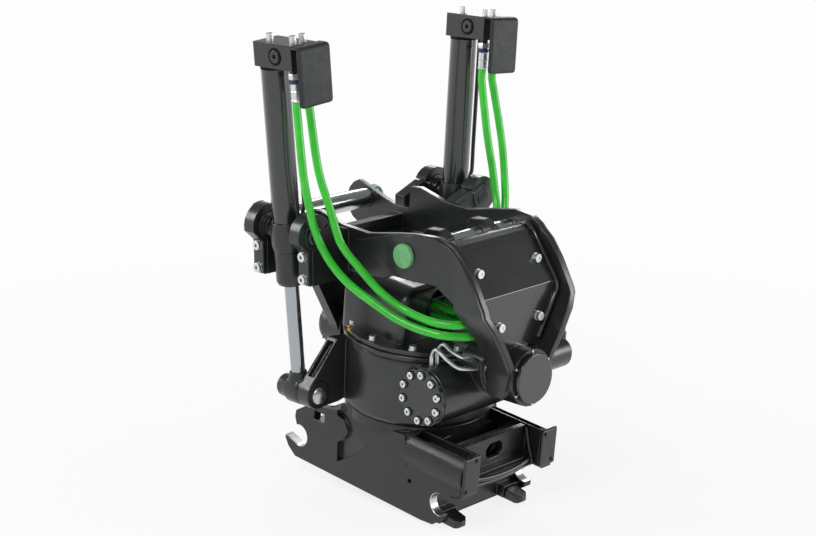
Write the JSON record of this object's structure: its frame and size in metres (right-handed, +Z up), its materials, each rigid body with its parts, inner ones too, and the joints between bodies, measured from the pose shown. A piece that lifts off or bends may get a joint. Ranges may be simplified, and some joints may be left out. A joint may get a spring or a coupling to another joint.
{
  "type": "excavator tilt rotator",
  "caption": "Tilting and turning attachment head: hangs by pins from the machine's arm, tilts by hydraulic cylinders, turns by a worm drive and grips tools with a pin coupler.",
  "frame": {"origin": "midway between the two hitch pins, on the centre plane", "axes": "+X to the right seen from the front, -Y to the front with the tilt cap and the lock bolts, +Z up to the machine's arm"},
  "size_m": [0.6546, 0.7068, 1.0248],
  "materials": {
    "black_paint": "semi-gloss charcoal paint",
    "cast_black": "painted casting, slightly rough",
    "bright_steel": "machined",
    "chrome_rod": "polished",
    "zinc": "zinc plated",
    "bronze": "machined bronze",
    "green_hose": "satin",
    "brass": "plain"
  },
  "bodies": {
    "upper_frame": {"yoke_frame": "black_paint", "front_hitch_pin": "bright_steel", "rear_hitch_pin": "bright_steel", "front_cover": "black_paint", "left_front_trunnion_cap": "black_paint", "left_rear_trunnion_cap": "black_paint", "right_front_trunnion_cap": "black_paint", "right_rear_trunnion_cap": "black_paint", "left_front_trunnion_pin": "bright_steel", "left_rear_trunnion_pin": "bright_steel", "right_front_trunnion_pin": "bright_steel", "right_rear_trunnion_pin": "bright_steel", "front_tilt_bush": "bronze", "rear_tilt_bush": "bronze", "front_tilt_cap": "cast_black", "rear_tilt_cap": "cast_black", "left_outer_hose": "green_hose", "left_inner_hose": "green_hose", "right_outer_hose": "green_hose", "right_inner_hose": "green_hose"},
    "rotor": {"rotor_housing": "cast_black", "top_casting": "cast_black", "swivel_body": "cast_black", "front_tilt_journal": "bright_steel", "rear_tilt_journal": "bright_steel", "worm_cover": "cast_black", "slew_motor": "cast_black", "left_worm_bearing": "bright_steel", "right_worm_bearing": "bright_steel", "left_lug_pin": "bright_steel", "right_lug_pin": "bright_steel", "slew_bearing": "bright_steel", "grease_nipple": "brass", "upper_steel_line": "zinc", "lower_steel_line": "zinc"},
    "coupler": {"coupler_body": "black_paint", "worm_wheel": "bronze", "swivel_core": "bright_steel", "left_end_plate": "black_paint", "right_end_plate": "black_paint", "lock_cylinder": "cast_black"},
    "lock": {"lock_bolts": "black_paint"},
    "worm": {"worm_shaft": "bright_steel"},
    "left_rod": {"left_piston_rod": "chrome_rod", "left_rod_eye": "black_paint"},
    "left_cylinder": {"left_barrel": "black_paint", "left_trunnion_sleeve": "black_paint", "left_gland": "black_paint", "left_cylinder_head": "black_paint", "left_hose_guard": "black_paint", "left_oil_pipe": "black_paint"},
    "right_rod": {"right_piston_rod": "chrome_rod", "right_rod_eye": "black_paint"},
    "right_cylinder": {"right_barrel": "black_paint", "right_trunnion_sleeve": "black_paint", "right_gland": "black_paint", "right_cylinder_head": "black_paint", "right_hose_guard": "black_paint", "right_oil_pipe": "black_paint"}
  },
  "joints": [
    {"name": "tilt", "type": "hinge", "parent": "upper_frame", "child": "rotor", "pos_m": [0, -0.38, -0.252], "axis": [0, 1, 0], "range_deg": [-45, 45], "deforming": ["left_outer_hose", "left_inner_hose", "right_outer_hose", "right_inner_hose"]},
    {"name": "slew", "type": "hinge", "parent": "rotor", "child": "coupler", "pos_m": [0, -0.077, -0.504], "axis": [0, -0.0958, 0.9954], "continuous": true},
    {"name": "worm_spin", "type": "hinge", "parent": "rotor", "child": "worm", "pos_m": [0, -0.24749, -0.29839], "axis": [1, 0, 0], "continuous": true},
    {"name": "lock_slide", "type": "slide", "parent": "coupler", "child": "lock", "axis": [0, 0.9954, 0.0958], "range_m": [0, 0.048]},
    {"name": "left_rod_swing", "type": "hinge", "parent": "rotor", "child": "left_rod", "pos_m": [-0.2265, 0.042, -0.331], "axis": [0, 1, 0], "range_deg": [-38, 38]},
    {"name": "left_cylinder_stroke", "type": "slide", "parent": "left_rod", "child": "left_cylinder", "axis": [-0.0756, 0, 0.9971], "range_m": [-0.181, 0.181]},
    {"name": "right_rod_swing", "type": "hinge", "parent": "rotor", "child": "right_rod", "pos_m": [0.2265, 0.042, -0.331], "axis": [0, 1, 0], "range_deg": [-38, 38]},
    {"name": "right_cylinder_stroke", "type": "slide", "parent": "right_rod", "child": "right_cylinder", "axis": [0.0756, 0, 0.9971], "range_m": [-0.181, 0.181]}
  ],
  "couplings": [
    {"joint": "worm_spin", "follows": "slew", "ratio": -60},
    {"joint": "left_rod_swing", "follows": "tilt", "ratio": -0.826},
    {"joint": "right_rod_swing", "follows": "tilt", "ratio": -0.826},
    {"joint": "left_cylinder_stroke", "follows": "tilt", "m_per_rad": -0.23},
    {"joint": "right_cylinder_stroke", "follows": "tilt", "m_per_rad": 0.23}
  ]
}
